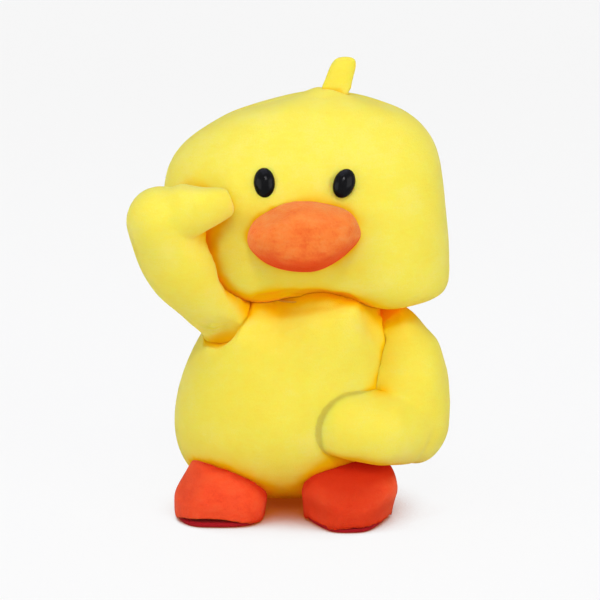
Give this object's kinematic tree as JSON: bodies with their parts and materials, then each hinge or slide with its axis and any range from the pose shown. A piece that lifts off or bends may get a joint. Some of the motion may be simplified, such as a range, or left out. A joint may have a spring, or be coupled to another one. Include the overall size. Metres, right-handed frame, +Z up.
{
  "type": "plush duck",
  "caption": "Soft plush duck with an oversized head, pillow bill, button eyes, bendable arms and stuffed feet that stand flat.",
  "frame": {"origin": "middle of the base, on the surface that the duck stands on", "axes": "+Z up, the duck faces -Y, and its own left is +X"},
  "size_m": [0.1736, 0.1432, 0.2482],
  "materials": {
    "yellow_plush": "short pile",
    "orange_plush": "short pile",
    "foot_plush": "short pile",
    "sole_plush": "short pile",
    "eye_plastic": "polished",
    "washer_plastic": "moulded",
    "fibre_fill": "loose fibre",
    "pouch_cloth": "plain weave",
    "thread": "twisted",
    "armature_wire": "drawn"
  },
  "bodies": {
    "torso": {"body_cover": "yellow_plush", "body_filling": "fibre_fill", "pellet_bag": "pouch_cloth"},
    "neck": {"neck_thread": "thread"},
    "head": {"head_cover": "yellow_plush", "head_filling": "fibre_fill", "bill": "orange_plush", "right_eye": "eye_plastic", "left_eye": "eye_plastic", "right_eye_washer": "washer_plastic", "left_eye_washer": "washer_plastic"},
    "tuft": {"tuft": "yellow_plush"},
    "right_upper_arm": {"right_upper_arm": "yellow_plush", "right_upper_arm_wire": "armature_wire"},
    "right_forearm": {"right_forearm": "yellow_plush", "right_forearm_wire": "armature_wire"},
    "left_upper_arm": {"left_upper_arm": "yellow_plush", "left_upper_arm_wire": "armature_wire"},
    "left_forearm": {"left_forearm": "yellow_plush", "left_forearm_wire": "armature_wire"},
    "right_foot": {"right_foot": "foot_plush", "right_sole": "sole_plush"},
    "left_foot": {"left_foot": "foot_plush", "left_sole": "sole_plush"},
    "tail": {"tail": "yellow_plush"}
  },
  "joints": [
    {"name": "neck_nod", "type": "hinge", "parent": "torso", "child": "neck", "pos_m": [0.00897, -0.00064, 0.099], "axis": [1, 0, 0], "range_deg": [-10, 0], "stiffness_Nm_per_rad": 0.4},
    {"name": "neck_turn", "type": "hinge", "parent": "neck", "child": "head", "pos_m": [0.00897, -0.00064, 0.099], "axis": [0, 0, 1], "range_deg": [-14, 0], "stiffness_Nm_per_rad": 0.08},
    {"name": "tuft_fold", "type": "hinge", "parent": "head", "child": "tuft", "pos_m": [0.02149, -0.00067, 0.2296], "axis": [0.9964, 0, -0.0847], "range_deg": [-25, 25], "stiffness_Nm_per_rad": 0.01},
    {"name": "right_shoulder", "type": "hinge", "parent": "torso", "child": "right_upper_arm", "pos_m": [-0.03873, -0.01941, 0.109], "axis": [0.409, -0.875, 0.259], "range_deg": [0, 40]},
    {"name": "right_elbow", "type": "hinge", "parent": "right_upper_arm", "child": "right_forearm", "pos_m": [-0.06937, -0.04513, 0.16704], "axis": [-0.0608, -0.9003, -0.431], "range_deg": [0, 85]},
    {"name": "left_shoulder", "type": "hinge", "parent": "torso", "child": "left_upper_arm", "pos_m": [0.05838, -0.00636, 0.1], "axis": [-0.1, -0.995, 0], "range_deg": [0, 75]},
    {"name": "left_elbow", "type": "hinge", "parent": "left_upper_arm", "child": "left_forearm", "pos_m": [0.06679, -0.01266, 0.04856], "axis": [0, 0, 1], "range_deg": [0, 85]},
    {"name": "right_ankle", "type": "hinge", "parent": "torso", "child": "right_foot", "pos_m": [-0.04154, -0.03537, 0.0335], "axis": [1, 0, 0], "range_deg": [-8, 0], "stiffness_Nm_per_rad": 0.8},
    {"name": "left_ankle", "type": "hinge", "parent": "torso", "child": "left_foot", "pos_m": [0.02947, -0.03305, 0.0335], "axis": [1, 0, 0], "range_deg": [-8, 0], "stiffness_Nm_per_rad": 0.8},
    {"name": "tail_flex", "type": "hinge", "parent": "torso", "child": "tail", "pos_m": [0.00146, 0.05341, 0.03599], "axis": [1, 0, 0], "range_deg": [-15, 15], "stiffness_Nm_per_rad": 0.02}
  ]
}
